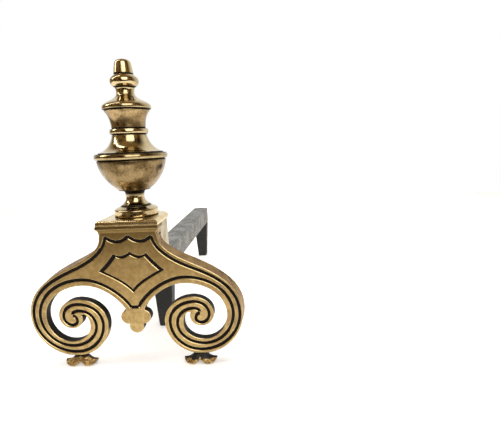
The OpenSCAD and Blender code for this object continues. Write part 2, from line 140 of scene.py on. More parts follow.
def makeFinish(name, finish, moreMasks=None):
    # what a finish holds:
    # blotches: size in mm, low, high and detail of each mask
    # layers: mask, share and colour, laid over the base colour
    # shader: a value, or a mask with the values at its 0 and its 1
    # bumps: mask, height in mm and strength
    material = bpy.data.materials.new(name)
    material.use_nodes = True
    tree = material.node_tree
    tree.nodes.clear()
    shader = addNode(tree, "ShaderNodeBsdfPrincipled")
    addNode(tree, "ShaderNodeOutputMaterial", {"Surface": shader.outputs[0]})
    place = addNode(tree, "ShaderNodeTexCoord").outputs["Object"]
    masks = {key: blotches(tree, place, size * mm, *rest)
             for key, (size, *rest) in finish["blotches"].items()}
    if moreMasks:
        moreMasks(tree, place, masks, finish)
    tree.links.new(layColours(tree, masks, finish["base"], finish["layers"]),
                   shader.inputs["Base Color"])
    for socket, value in finish["shader"].items():
        if isinstance(value, tuple):
            mask, low, high = value
            value = addNode(tree, "ShaderNodeMapRange",
                            {"Value": masks[mask], "To Min": low, "To Max": high}).outputs[0]
            tree.links.new(value, shader.inputs[socket])
        else:
            shader.inputs[socket].default_value = value
    normal = masks.get("roundedNormal")
    for mask, height, strength in finish["bumps"]:
        bump = addNode(tree, "ShaderNodeBump", {"Height": masks[mask], "Distance": height * mm,
                                                "Strength": strength})
        if normal:
            tree.links.new(normal, bump.inputs["Normal"])
        normal = bump.outputs[0]
    if normal:
        tree.links.new(normal, shader.inputs["Normal"])
    return material


# yellow brass, sand cast and worn to a satin by years of polishing: a soft, slightly cloudy gleam, with
# painted shade towards the neck
satinSet = {
    "blotches": {"wide": (45, 0.35, 0.65, 4), "fine": (4, 0.3, 0.75, 8), "pits": (1.2, 0.2, 0.8, 3),
                 "specks": (1.6, 0.68, 0.78, 3), "stains": (15, 0.38, 0.66, 6)},
    "zones": {"rubbed": ("height", 120, 50), "shaded": ("height", 120, 180),
              "outer": ("across", 70, 120)},       # where each starts and is full, in mm
    "base": "#9b8152",
    "layers": [
        ("wide", 1, "#b59b67"),
        ("rubbed", 0.75, "#cfb57d"),       # paler low down
        ("shaded", 0.9, "#65512a"),        # painted shade: olive brown towards the neck
        ("outerStains", 0.75, "#8a7458"),  # browner at the outer sides, which the cloth reaches least
        ("fine", 0.55, "#775c33"),
        ("specks", 0.7, "#3f2f18"),
        ("worn", 1, "#e6d09c"),            # bright on every corner
    ],
    "shader": {"Roughness": ("fine", 0.34, 0.46), "Metallic": 1},
    "bumps": [("wide", 0.3, 0.5), ("pits", 0.04, 0.5)],
    "cornerRadius": 0.9 * mm,
    "cornerTurn": (0.995, 0.93),           # cosines at which a corner starts and is full
}


def satinMasks(tree, place, masks, finish):
    # rounded corners for the light, and how far each point lies on such a corner
    rounded = addNode(tree, "ShaderNodeBevel", {"Radius": finish["cornerRadius"]}, samples=6).outputs[0]
    flat = addNode(tree, "ShaderNodeNewGeometry").outputs["True Normal"]
    cosine = addNode(tree, "ShaderNodeVectorMath", {0: rounded, 1: flat},
                     operation="DOT_PRODUCT").outputs["Value"]
    start, full = finish["cornerTurn"]
    masks["roundedNormal"] = rounded
    masks["worn"] = addNode(tree, "ShaderNodeMapRange",
                            {"Value": cosine, "From Min": start, "From Max": full}).outputs[0]
    axes = addNode(tree, "ShaderNodeSeparateXYZ", {0: place}).outputs
    across = addNode(tree, "ShaderNodeMath", {0: axes["X"]}, operation="ABSOLUTE").outputs[0]
    reach = {"height": axes["Z"], "across": across}
    for key, (way, start, full) in finish["zones"].items():
        masks[key] = addNode(tree, "ShaderNodeMapRange", {"Value": reach[way], "From Min": start * mm,
                                                          "From Max": full * mm}).outputs[0]
    masks["outerStains"] = addNode(tree, "ShaderNodeMath", {0: masks["outer"], 1: masks["stains"]},
                                   operation="MULTIPLY").outputs[0]


# the cast edge of the front, filed but never polished: browner and duller than its face
edgeSet = {
    "blotches": {"wide": (14, 0.35, 0.7, 6), "fine": (2, 0.3, 0.7, 6), "marks": (11, 0.63, 0.7, 5)},
    "base": "#b8965f",
    "layers": [("wide", 1, "#8a6a3f"), ("fine", 0.5, "#5e4529"), ("marks", 0.75, "#3a2e24")],
    "shader": {"Roughness": ("fine", 0.34, 0.52), "Metallic": 1},
    "bumps": [("fine", 0.1, 0.6)],
}

# painted highlight on the cut corners of the brass that look up: thin light lines
arrisSet = {
    "blotches": {"fine": (5, 0.3, 0.7, 4)},
    "base": "#ecd9a4",
    "layers": [("fine", 1, "#c7aa6c")],
    "shader": {"Roughness": 0.3, "Metallic": 1},
    "bumps": [("fine", 0.05, 0.4)],
}

# black polish and soot left in the cut lines, and painted shade on their corners that look down: dry
# and dull
cutLineSet = {
    "blotches": {"fine": (1.5, 0.3, 0.7, 5)},
    "base": "#0f0b08",
    "layers": [("fine", 1, "#1d150d")],
    "shader": {"Roughness": 0.75, "Specular IOR Level": 0.2},
    "bumps": [("fine", 0.1, 0.5)],
}

# painted shade on the inner sides of the scrolls, which look down or face another side: nearly black
innerSet = {
    "blotches": {"wide": (9, 0.45, 0.75, 5), "fine": (1.5, 0.3, 0.7, 5)},
    "base": "#090706",
    "layers": [("fine", 1, "#110d09"), ("wide", 0.5, "#3a2e1b")],
    "shader": {"Roughness": ("fine", 0.45, 0.65), "Specular IOR Level": 0.12},
    "bumps": [("fine", 0.1, 0.5)],
}

# cast brass of the leaf feet: chased lips rubbed bright, with painted shade, nearly black, on their
# tops under the scroll and on their backs
leafSet = {
    "blotches": {"fine": (2.5, 0.35, 0.65, 5), "patch": (5, 0.3, 0.7, 4)},
    "base": "#cbab72",
    "layers": [("fine", 1, "#7b5e34"), ("cover", 1, "#1b1713")],
    "shader": {"Roughness": ("fine", 0.3, 0.5), "Metallic": ("cover", 1, 0.3)},
    "bumps": [("patch", 0.8, 0.5), ("fine", 0.3, 0.5)],
    "sootWeight": 1.5,
    "patchWeight": 0.55,
    "coverEdge": (0.55, 0.95),             # weights at which the painted shade starts and is full
}


def leafMasks(tree, place, masks, finish):
    # painted shade under the scroll, from the point attribute
    soot = addNode(tree, "ShaderNodeAttribute", attribute_name="soot").outputs["Fac"]
    soot = addNode(tree, "ShaderNodeMath", {0: soot, 1: finish["sootWeight"]},
                   operation="MULTIPLY").outputs[0]
    cover = addNode(tree, "ShaderNodeMath", {0: masks["patch"], 1: finish["patchWeight"], 2: soot},
                    operation="MULTIPLY_ADD").outputs[0]
    start, full = finish["coverEdge"]
    masks["cover"] = addNode(tree, "ShaderNodeMapRange",
                             {"Value": cover, "From Min": start, "From Max": full}).outputs[0]


# yellow brass turned on a lathe and buffed: clear reflections, faint rings, brown stains, dark seams,
# and painted shade at the top of the stem under the bowl
turnedSet = {
    "blotches": {"wide": (16, 0.42, 0.68, 6), "fine": (2.2, 0.45, 0.75, 6)},
    "wideWeight": 0.75,                    # shares of the two blotches in the stains
    "fineWeight": 0.45,
    "grime": "#1c130b",
    "stainDulls": 0.25,                    # roughness that stains and grime add
    "grimeDulls": 0.4,
    "shader": {"Roughness": ("dullness", 0, 1), "Metallic": 1},
    "bumps": [("rings", 0.004, 0.08), ("wide", 0.25, 0.35), ("fine", 0.015, 0.5)],
    "ringPitch": 3.1567 * mm,              # coarser than real tool marks, so that they show
    "ringWander": 0.6,
}


def turnedMasks(tree, place, masks, finish):
    grime = addNode(tree, "ShaderNodeAttribute", attribute_name="grime").outputs["Fac"]
    stain = addNode(tree, "ShaderNodeMath", {0: masks["wide"], 1: finish["wideWeight"]},
                    operation="MULTIPLY").outputs[0]
    stain = addNode(tree, "ShaderNodeMath", {0: masks["fine"], 1: finish["fineWeight"], 2: stain},
                    operation="MULTIPLY_ADD", use_clamp=True).outputs[0]
    stain = addNode(tree, "ShaderNodeMath", {0: stain, 1: finish["stainShare"]},
                    operation="MULTIPLY").outputs[0]
    dull = addNode(tree, "ShaderNodeMath", {0: stain, 1: finish["stainDulls"], 2: finish["roughness"]},
                   operation="MULTIPLY_ADD").outputs[0]
    dull = addNode(tree, "ShaderNodeMath", {0: grime, 1: finish["grimeDulls"], 2: dull},
                   operation="MULTIPLY_ADD").outputs[0]
    # at scale 1 the rings of the wave texture lie 2 pi / 20 apart
    rings = addNode(tree, "ShaderNodeTexWave",
                    {"Vector": place, "Scale": 2 * math.pi / 20 / finish["ringPitch"],
                     "Distortion": finish["ringWander"]}, bands_direction="Z").outputs["Fac"]
    masks.update(grime=grime, stain=stain, dullness=dull, rings=rings)


def turnedBrass(name, clear, stained, stainShare, roughness):
    finish = dict(turnedSet, base=clear, stainShare=stainShare, roughness=roughness)
    finish["layers"] = [("stain", 1, stained), ("grime", 1, finish["grime"])]
    return makeFinish(name, finish, turnedMasks)


# wrought iron, forge scale worn to a soft grey: hammer facets and dark pits
hammeredSet = {
    "blotches": {"wide": (22, 0.35, 0.65, 5), "fine": (3, 0.35, 0.72, 8)},
    "base": "#a4a5a1",
    "layers": [("wide", 1, "#6b6c68"), ("fine", 0.75, "#444542")],
    "shader": {"Roughness": ("fine", 0.45, 0.65), "Metallic": 0.55},
    "bumps": [("wide", 0.6, 0.6), ("fine", 0.25, 0.6)],
}

# wrought iron of the legs, never rubbed: black and matt from the forge and the fire, and darker still
# as painted shade for the front leg in shadow
legSet = {
    "blotches": {"fine": (4, 0.3, 0.75, 7)},
    "base": "#1a1b1b",
    "layers": [("fine", 1, "#313332")],
    "shader": {"Roughness": ("fine", 0.5, 0.7), "Metallic": 0.2},
    "bumps": [("fine", 0.3, 0.5)],
}

# plain steel of the rod, washer, nut and screws, dulled by heat: grey brown with little shine
steelSet = {
    "blotches": {"fine": (2, 0.3, 0.7, 5)},
    "base": "#6d6962",
    "layers": [("fine", 1, "#4b463e")],
    "shader": {"Roughness": 0.5, "Metallic": 0.9},
    "bumps": [("fine", 0.1, 0.4)],
}

satin = makeFinish("satin_cast_brass", satinSet, satinMasks)
brownEdge = makeFinish("brown_edge_brass", edgeSet)
cutLineSoot = makeFinish("soot_in_cut_lines", cutLineSet)
brightArris = makeFinish("bright_worn_corners", arrisSet)
innerSoot = makeFinish("sooted_inner_sides", innerSet)
leafBrass = makeFinish("chased_leaf_brass", leafSet, leafMasks)
# clear colour, stained colour, share of the stains, roughness
polished = turnedBrass("polished_turned_brass", "#d3c095", "#887046", 0.65, 0.09)
rubbedRim = turnedBrass("rubbed_rim_brass", "#b5a278", "#66532f", 0.8, 0.11)
mottled = turnedBrass("tarnished_turned_brass", "#97815c", "#4d3c22", 0.95, 0.18)
waistBrass = turnedBrass("rubbed_waist_brass", "#b29a70", "#68522f", 0.95, 0.2)
topBrass = turnedBrass("polished_top_plate_brass", "#e8d4a4", "#b89a66", 0.4, 0.22)
# the plinth's pale greyish tone and dark streaks are partly painted reflection of the white backdrop
# and the dark room
plinthBrass = turnedBrass("pale_plinth_brass", "#a29570", "#625536", 0.75, 0.14)
iron = makeFinish("hammered_wrought_iron", hammeredSet)
legIron = makeFinish("black_forged_iron", legSet)
steel = makeFinish("dull_steel", steelSet)
print("materials made")


def curve(start, first, second, end, steps=20):
    # Bezier curve from start to end, drawn by two handles
    points = []
    for i in range(steps + 1):
        t = i / steps
        u = 1 - t
        points.append(tuple(u ** 3 * a + 3 * u * u * t * b + 3 * u * t * t * c + t ** 3 * d
                            for a, b, c, d in zip(start, first, second, end)))
    return points


def finishPiece(name, shape, materials, nodes, sharp):
    # an edge stays crisp from the angle sharp on, in degrees
    bmesh.ops.recalc_face_normals(shape, faces=shape.faces)
    for face in shape.faces:
        face.smooth = True
    for line in shape.edges:
        if len(line.link_faces) == 2:
            line.smooth = line.calc_face_angle(0) < math.radians(sharp)
    mesh = bpy.data.meshes.new(name)
    shape.to_mesh(mesh)
    shape.free()
    piece = bpy.data.objects.new(name, mesh)
    bpy.context.collection.objects.link(piece)
    for material in materials:
        mesh.materials.append(material)
    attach(piece, "root")
    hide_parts(*nodes)
    return piece


copySet = {
    "weld": 0.002 * mm,
    "flatAngle": 0.3,            # degrees between triangles that are one flat face
}


def cadCopy(node, sizes, joined):
    # a node's mesh, welded, with its triangles joined to whole faces if asked
    shape = bmesh.new()
    shape.from_mesh(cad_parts[node].data)
    bmesh.ops.remove_doubles(shape, verts=shape.verts, dist=sizes["weld"])
    if joined:
        bmesh.ops.dissolve_limit(shape, angle_limit=math.radians(sizes["flatAngle"]),
                                 verts=shape.verts, edges=shape.edges)
    for loose in [vert for vert in shape.verts if not vert.link_faces]:
        shape.verts.remove(loose)
    return shape


# scroll front: the CAD solid, with rubbed corners and a finish for each kind of face, including painted
# highlights on corners that look up and painted shade on hidden sides
plateSet = {
    "cutDepth": 1.8 * mm,
    "corner": 0.55 * mm,         # width of the rubbed corners on the face
    "drop": 0.4 * mm,            # and how far they fall back
    "cornerDepth": 1 * mm,       # corners lie in front of this,
    "cornerTilt": (-0.98, -0.15),     # and face the front between these
    "wallTilt": 0.1,             # walls face the front by less than this
    "lit": 0.2,                  # corners that look up by more than this get a painted highlight
    "shaded": -0.35,             # those of a cut line that look down by more get painted shade in black
    "under": -0.6,               # sides that look down by more than this get painted shade, nearly black,
    "sight": 200 * mm,           # and so do those that look at another side this near
    "lift": 0.1 * mm,
    "touch": 0.01 * mm,
    "sharp": 25,
    "finishes": {"face": satin, "edge": brownEdge, "cutLine": cutLineSoot, "inner": innerSoot,
                 "arris": brightArris},
}


def plateFinish(face, plate, rays):
    way = face.normal
    near = min(vert.co.y for vert in face.verts) - faceY
    deep = max(vert.co.y for vert in face.verts) - faceY
    cutFloor = plate["cutDepth"] + plate["touch"]
    if near < -plate["touch"] or deep < plate["touch"]:
        return "face"
    low, high = plate["cornerTilt"]
    if deep < plate["cornerDepth"] and low < way.y < high:
        # corners that look up get a painted highlight
        if way.z > plate["lit"]:
            return "arris"
        # corners beside a cut line that look down get painted shade in black
        besideCut = any(abs(side.normal.y) < plate["wallTilt"]
                        and max(vert.co.y for vert in side.verts) - faceY < cutFloor
                        for line in face.edges for side in line.link_faces)
        return "cutLine" if besideCut and way.z < plate["shaded"] else "face"
    if deep < cutFloor:
        return "cutLine"
    # sides that look down, or look at another side nearby, get painted shade
    start = face.calc_center_median() + way * plate["lift"]
    if way.z < plate["under"] or rays.ray_cast(start, way, plate["sight"])[0]:
        return "inner"
    return "edge"


def dressFront(plate):
    shape = cadCopy("front_plate", copySet, joined=False)
    flat = [face for face in shape.faces
            if all(abs(vert.co.y - faceY) < plate["touch"] for vert in face.verts)]
    # corners of the cut lines and of the outline, rubbed off by polishing
    rim = bmesh.ops.inset_region(shape, faces=flat, thickness=plate["corner"], use_even_offset=True,
                                 use_boundary=True)["faces"]
    inside = {vert for face in flat for vert in face.verts}
    for vert in {vert for face in rim for vert in face.verts} - inside:
        if min(near.co.y for face in vert.link_faces for near in face.verts) > faceY - plate["touch"]:
            vert.co.y += plate["drop"]
    shape.normal_update()
    rays = BVHTree.FromBMesh(shape)
    kinds = list(plate["finishes"])
    for face in shape.faces:
        face.material_index = kinds.index(plateFinish(face, plate, rays))
    finishPiece("scroll_front", shape, plate["finishes"].values(), ["front_plate"],
                plate["sharp"])


dressFront(plateSet)
print("scroll front dressed")

# finial: radii and heights of its pieces in mm, from the bottom up
finialSet = {
    "ring": 26, "ringHeight": 12.5, "seat": 16.2, "stem": 10.8, "stemHeight": 18,
    "bowl": 40.1, "bowlHeight": 37.2, "rim": 42.6, "rimHeight": 7.5, "lidHeight": 21.7,
    "waist": 20, "band": 22.3, "bandHeight": 6.9, "upperHeight": 21.4,
    "cap": 28.2, "capHeight": 25.5, "neck": 10.2, "ball": 16.3, "ballHeight": 14.4,
    "tip": 11.2, "tipHeight": 17.2, "rod": 4.3, "nutBore": 4.05, "wall": 3.5,
    "steps": 128,                # facets round the axis
    "sharp": 40,
    "seam": 0.8,                 # half height of the dark line where two turnings meet
    "seamDepth": 1.4,
    "seamEdge": (0.1, 0.9),      # how far its edge lies back, and at which share of its height
    "seamDark": (1.9, 1.4),      # darkness in a seam, and what it loses over a seam's width
    "smears": [(35, -12, 27, 6)],     # x, y, height and size of a dark mark on the bowl
    "smearDark": (1.1, 0.9, 6),  # darkness in a smear, and strength and size of its noise
}


def bead(low, high, height, steps=20):
    return [(low + (high - low) * math.sin(math.pi * i / steps),
             height / 2 - height / 2 * math.cos(math.pi * i / steps)) for i in range(steps + 1)]


def seamed(profile, finial, low, high):
    # the profile with a narrow groove at its lower end, its upper end or both
    (lowRadius, lowHeight), (highRadius, highHeight) = profile[0], profile[-1]
    seam, depth = finial["seam"], finial["seamDepth"]
    back, share = finial["seamEdge"]
    body = [point for point in profile if (not low or point[1] > lowHeight + seam)
            and (not high or point[1] < highHeight - seam)]
    start, end = [], []
    if low:
        start = [(lowRadius - depth, lowHeight), (body[0][0] - back, lowHeight + seam * share)]
    if high:
        end = [(body[-1][0] - back, highHeight - seam * share), (highRadius - depth, highHeight)]
    return start + body + end


def turnPiece(finial, name, node, outer, inner, material, seams, smears=()):
    # outer runs up and inner back down; a seam is a height and a width
    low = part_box(node)[0].z
    shape = bmesh.new()
    ring = [shape.verts.new((radius * mm, axisY, low + height * mm))
            for radius, height in outer + inner]
    loop = [shape.edges.new((a, b)) for a, b in zip(ring, ring[1:] + ring[:1])
            if a.co.x > tiny or b.co.x > tiny]
    bmesh.ops.spin(shape, geom=ring + loop, cent=(0, axisY, 0), axis=(0, 0, 1), dvec=(0, 0, 0),
                   angle=2 * math.pi, steps=finial["steps"], use_merge=True, use_duplicate=False)
    bmesh.ops.remove_doubles(shape, verts=shape.verts, dist=tiny)
    piece = finishPiece(name, shape, [material], [node], finial["sharp"])
    grime = piece.data.attributes.new("grime", "FLOAT", "POINT")
    seamDark, seamLoss = finial["seamDark"]
    smearDark, noiseStrength, noiseSize = finial["smearDark"]
    for i, vert in enumerate(piece.data.vertices):
        gap = min([abs(vert.co.z - low - height * mm) / mm / width for height, width in seams])
        dark = seamDark - seamLoss * gap
        for x, y, height, size in smears:
            centre = Vector((x * mm, axisY + y * mm, low + height * mm))
            away = (vert.co - centre).length / mm / size
            wave = noise.noise(vert.co / (noiseSize * mm))
            dark = max(dark, smearDark - away + noiseStrength * wave)
        grime.data[i].value = max(0, min(1, dark))


def turnFinial(finial):
    # profiles are pairs of a radius and a height over the lower end, in mm
    rod, wall, seat, stem = finial["rod"], finial["wall"], finial["seat"], finial["stem"]
    bowl, waist, cap, neck = finial["bowl"], finial["waist"], finial["cap"], finial["neck"]
    ball, tip = finial["ball"], finial["tip"]

    def turn(name, node, outer, inner, material, seams, low=True, high=True, smears=()):
        turnPiece(finial, name, node, seamed(outer, finial, low, high), inner, material, seams, smears)

    def bore(height):
        return [(rod, height), (rod, 0)]

    def ends(height):
        return [(0, 1), (height, 1)]

    wide, top = finial["ring"], finial["ringHeight"]
    profile = [(wide - 0.5, 0), (wide, 0.9), (wide, 1.6), (wide, 6.6)] + curve(
        (wide, 7.3), (wide - 0.1, top - 3.0), (seat + 4, top - 2.6), (seat + 0.3, top))
    turn("foot_ring_turned", "foot_ring", profile, bore(top), polished, ends(top))

    top = finial["stemHeight"]
    thin = 0.57 * top        # height of its narrowest place
    profile = [(seat, 0)] + curve(
        (seat, 0.8), (seat - 3.5, 3.4), (stem, 6), (stem, thin)) + curve(
        (stem, thin), (stem, top - 4.3), (stem + 0.6, top - 2), (stem + 2, top))[1:]
    # the wide dark band at its top is painted shade under the bowl
    turn("stem_turned", "stem", profile, bore(top), polished, [(0, 1), (top, 5)], low=False)

    top = finial["bowlHeight"]

    def bowlSide(inset):
        return curve((stem + 5.7 - inset, 0), (stem + 17 - inset, 6.5),
                     (bowl - 0.8 - inset, top - 15), (bowl - inset, top), 32)

    hollow = [point for point in bowlSide(wall) if point[1] > wall][::-1]
    turn("bowl_turned", "bowl", bowlSide(0), hollow + bore(wall), mottled, [(0, 1.3), (top, 1.2)],
         smears=finial["smears"])

    top = finial["rimHeight"]
    inner = bowl - 2 * wall
    turn("rim_bead_turned", "rim_bead", bead(bowl - 1, finial["rim"], top),
         [(inner, top), (inner, 0)], rubbedRim, ends(top))

    lidTop = finial["lidHeight"]

    def lidSide(inset):
        return curve((bowl - 1.6 - inset, 0.8), (bowl - 11.3 - inset, 3),
                     (waist + 1.8 - inset, 0.5 * lidTop), (waist - inset, lidTop), 28)

    hollow = [point for point in lidSide(wall) if point[1] < lidTop - wall][::-1]
    inside = [(rod, lidTop), (rod, lidTop - wall), (hollow[0][0], lidTop - wall)] + hollow
    turn("lid_turned", "lid", [(bowl - 1.4, 0)] + lidSide(0), inside + [(bowl - 1.6 - wall, 0)],
         polished, ends(lidTop))

    top = finial["bandHeight"]
    turn("waist_ring_turned", "waist_ring", bead(waist, finial["band"], top), bore(top), polished,
         ends(top))

    top = finial["upperHeight"]
    profile = [(waist - 0.4, 0)] + curve(
        (waist - 0.4, 0.4), (waist - 0.1, 9), (cap - 6.8, top - 6), (cap - 1.6, top - 0.6)) + [
        (cap - 1.6, top)]
    turn("upper_waist_turned", "upper_waist", profile, bore(top), waistBrass, ends(top))

    top = finial["capHeight"]
    profile = (curve((cap - 1.2, 0), (cap - 0.2, 0.8), (cap, 2), (cap, 3.3), 10)
               + curve((cap, 3.3), (cap - 0.6, 9.5), (neck, top - 14.3), (neck, top - 5.7), 28)[1:]
               + curve((neck, top - 5.7), (neck, top - 2.8), (neck + 0.5, top - 1.3),
                       (neck + 1.5, top), 8)[1:])
    turn("cap_turned", "cap", profile, bore(top), polished, ends(top))

    top = finial["ballHeight"]
    profile = (curve((neck + 1.5, 0), (neck + 3.3, 1.2), (ball, 3.2), (ball, 7))
               + curve((ball, 7), (ball, 10), (tip + 3, top - 2.9), (tip - 0.4, top))[1:])
    turn("ball_turned", "ball", profile, bore(top), polished, ends(top))

    top = finial["tipHeight"]
    profile = ([(tip - 0.3, 0)]
               + curve((tip, 0.6), (tip - 0.4, 5), (tip - 1.3, top - 7), (tip - 1.8, top - 4.6))
               + curve((tip - 1.8, top - 4.6), (tip - 2.6, top - 1.6), (6, top), (0, top))[1:])
    nut = finial["nutBore"]
    turn("tip_turned", "tip_nut", profile, [(0, top - 4), (nut, top - 4), (nut, 0)], polished,
         [(0, 1)], high=False)


turnFinial(finialSet)
print("finial turned")

# plinth: the CAD solids of the box and its moulded plate, with soft corners
plinthSet = {
    "pieces": [
        # node, piece, material, width of its corners
        ("plinth_box", "plinth_box_cast", plinthBrass, 0.8 * mm),
        ("top_plate", "top_plate_cast", topBrass, 0.3 * mm),
    ],
    "wideFace": 120 * mm * mm,
    "sharp": 30,
    "cornerAngle": 35,           # degrees from which a corner is rounded
}


def dressPlinth(plinth):
    for node, name, material, width in plinth["pieces"]:
        shape = cadCopy(node, copySet, joined=True)
        wide = [face for face in shape.faces if face.calc_area() > plinth["wideFace"]]
        # keeps the wide faces flat beside their round corners
        bmesh.ops.inset_individual(shape, faces=wide, thickness=2 * width, use_even_offset=True)
        piece = finishPiece(name, shape, [material], [node], plinth["sharp"])
        corners = piece.modifiers.new("soft_edges", "BEVEL")
        corners.width = width
        corners.segments = 2
        corners.limit_method = "ANGLE"
        corners.angle_limit = math.radians(plinth["cornerAngle"])
        corners.harden_normals = False
        corners.use_clamp_overlap = True


dressPlinth(plinthSet)
print("plinth dressed")

# leaf feet: cross sections along X, in mm, joined and smoothed
footSet = {
    "feet": [
        # node, piece, height from which the painted shade makes it black
        ("left_foot", "left_leaf_foot", 10.5),
        ("right_foot", "right_leaf_foot", 5.3),
    ],
    "stations": [
        # x, top, underside, lip, half depth at the top
        (0.0, 13.6, 4.6, 7.2, 4.4), (1.8, 13.6, 3.4, 7.8, 4.6), (4.6, 13.6, 0.5, 8.9, 4.6),
        (7.6, 13.2, 0.0, 9.5, 4.3), (9.6, 10.2, 0.0, 9.5, 3.9), (12.6, 7.9, 0.2, 8.9, 3.3),
        (15.8, 6.9, 1.2, 7.4, 2.7), (18.6, 6.7, 3.1, 4.8, 1.9), (20.3, 6.9, 5.3, 1.8, 0.9),
    ],
    "shoulder": (0.2, 0.66),     # shares of the way out to the lip, and of the height
    "flank": (0.7, 0.36),        # how far inside the lip, and share of the height
    "lip": (1.2, 0.16),          # how far it turns in below, and share of the height
    "middle": 5,                 # behind the face of the front
    "rearLip": 0.62,             # the lip behind is shorter than the one in front
    "spigotRadius": 2.5,
    "spigotLength": 10,
    "spigotPlace": (0, 0.5, 16.5),
    "sootFade": 2.5,             # height over which the painted shade comes in
    "vein": 2,                   # half width of the lighter vein in the middle, kept out of the painted shade
    "sharp": 60,
}


def dressFoot(foot, node, name, sootFrom):
    low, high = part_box(node)
    middle = Vector(((low.x + high.x) / 2, faceY + foot["middle"] * mm, 0))
    (shoulderOut, shoulderUp), (flankIn, flankUp) = foot["shoulder"], foot["flank"]
    lipIn, lipUp = foot["lip"]
    shape = bmesh.new()
    half = foot["stations"]
    loops = []
    for x, top, under, lip, waist in [(-x, *rest) for x, *rest in half[:0:-1]] + half:
        rise = top - under
        front = [(waist, top), (waist + shoulderOut * (lip - waist), under + shoulderUp * rise),
                 (lip - flankIn, under + flankUp * rise), (lip, under + lipUp * rise),
                 (lip - lipIn, under)]
        section = [(-y, z) for y, z in front] + [(foot["rearLip"] * y, z) for y, z in front[::-1]]
        ring = [shape.verts.new(middle + Vector((x, y, z)) * mm) for y, z in section]
        loops.append([shape.edges.new(pair) for pair in zip(ring, ring[1:] + ring[:1])])
    for near, far in zip(loops, loops[1:]):
        bmesh.ops.bridge_loops(shape, edges=near + far)
    for end in (loops[0], loops[-1]):
        bmesh.ops.edgeloop_fill(shape, edges=end)
    radius = foot["spigotRadius"] * mm
    centre = middle + Vector(foot["spigotPlace"]) * mm
    bmesh.ops.create_cone(shape, cap_ends=True, segments=24, radius1=radius, radius2=radius,
                          depth=foot["spigotLength"] * mm, matrix=Matrix.Translation(centre))
    piece = finishPiece(name, shape, [leafBrass], [node], foot["sharp"])
    soot = piece.data.attributes.new("soot", "FLOAT", "POINT")
    for i, vert in enumerate(piece.data.vertices):
        # painted shade: black on top and behind, with a lighter vein down the middle of the front
        across = abs(vert.co.x - middle.x) / mm
        vein = 1 - across / foot["vein"] if across < foot["vein"] else 0
        dark = (vert.co.z / mm - sootFrom) / foot["sootFade"] - vein
        soot.data[i].value = max(0, min(1, dark)) if vert.co.y < middle.y else 1
    smooth = piece.modifiers.new("smooth", "SUBSURF")
    smooth.levels = smooth.render_levels = 2


for node, name, sootFrom in footSet["feet"]:
    dressFoot(footSet, node, name, sootFrom)
print("feet dressed")

# iron: bar and legs forged from blocks, with hammered faces and worn corners
forgeSet = {
    "corner": 2.2 * mm,
    "dent": 0.7 * mm,            # depth and size of the hammer marks
    "dentSize": 16 * mm,
    "dentShares": (0.5, 0.4, 0.1),    # even wear, hammer marks, ripples
    "rippleSize": 0.35,          # of the size of the hammer marks
    "cell": 4 * mm,              # size of the faces that take the marks
    "seat": 1 * mm,              # depth of the plinth's seat in the bar
    "footShare": 19 / 31,        # width of a leg at its foot, of that at its top
    "tenonRadius": 6 * mm,       # the tenon rivets a leg to the bar
    "tenonRoot": 1 * mm,         # its start inside the leg
    "tenonCorner": 1.2 * mm,
    "sharp": 50,
    "barSeed": 3.1,
    "legs": [
        # node, piece, seed
        ("front_leg", "forged_front_leg", 7.7),
        ("rear_leg", "forged_rear_leg", 12.4),
    ],
}


def hammered(shape, forge, seed):
    shape.normal_update()
    wear, marks, ripples = forge["dentShares"]
    for vert in shape.verts:
        mark = noise.noise(vert.co / forge["dentSize"] + Vector((seed, 0, 0)))
        ripple = noise.noise(vert.co / (forge["rippleSize"] * forge["dentSize"])
                             + Vector((0, seed, 0)))
        vert.co -= vert.normal * forge["dent"] * (wear + marks * mark + ripples * ripple)


def roundEdges(shape, edges, width):
    bmesh.ops.bevel(shape, geom=edges, offset=width, offset_type="OFFSET", segments=3, profile=0.5,
                    affect="EDGES", material=-1)


def cutAcross(shape, low, high, cell):
    for axis in range(3):
        count = max(1, round((high[axis] - low[axis]) / cell))
        normal = Vector([1 if k == axis else 0 for k in range(3)])
        for i in range(1, count):
            place = Vector((0, 0, 0))
            place[axis] = low[axis] + (high[axis] - low[axis]) * i / count
            bmesh.ops.bisect_plane(shape, geom=shape.verts[:] + shape.edges[:] + shape.faces[:],
                                   plane_co=place, plane_no=normal, dist=tiny)


def forgeBlock(low, high):
    shape = bmesh.new()
    bmesh.ops.create_cube(shape, size=1, matrix=Matrix.Translation((low + high) / 2)
                          @ Matrix.Diagonal((*(high - low), 1)))
    return shape


def forgeBar(forge):
    shape = forgeBlock(barLow, barHigh)
    roundEdges(shape, shape.edges[:], forge["corner"])
    cutAcross(shape, barLow, barHigh, forge["cell"])
    hammered(shape, forge, forge["barSeed"])
    for vert in shape.verts:
        if vert.co.y < seatEnd:
            vert.co.z = min(vert.co.z, barHigh.z - forge["seat"])
    finishPiece("forged_bar", shape, [iron], ["billet_bar"], forge["sharp"])


